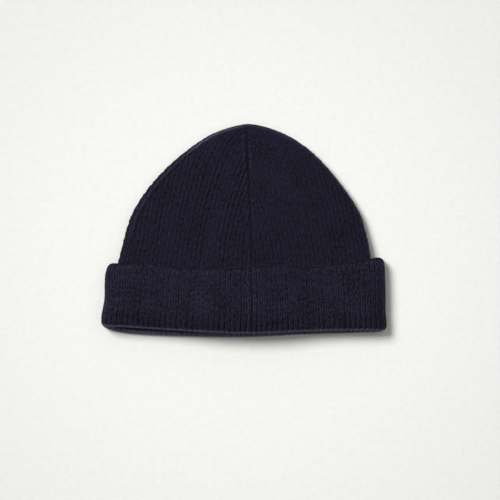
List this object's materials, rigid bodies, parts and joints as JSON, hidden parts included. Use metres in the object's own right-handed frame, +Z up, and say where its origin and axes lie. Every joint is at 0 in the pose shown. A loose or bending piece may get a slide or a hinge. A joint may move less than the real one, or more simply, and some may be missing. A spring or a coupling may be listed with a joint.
{
  "type": "knit hat",
  "caption": "Ribbed knit hat with a turned-up cuff and a gored crown, lying flat and open at its mouth.",
  "frame": {"origin": "bottom centre of the hat's box, on the surface that it lies on", "axes": "+Y points from the mouth to the tip of the crown, +X to the right as seen from above, and +Z up from the surface"},
  "size_m": [0.2396, 0.1798, 0.0203],
  "materials": {
    "crown_knit": "dark navy rib knit, matt, with a fine fuzz",
    "cuff_knit": "dark navy rib knit, matt, with a fine fuzz, a little lighter than the crown"
  },
  "bodies": {
    "root": {"crown": "crown_knit", "cuff": "cuff_knit"}
  },
  "joints": []
}
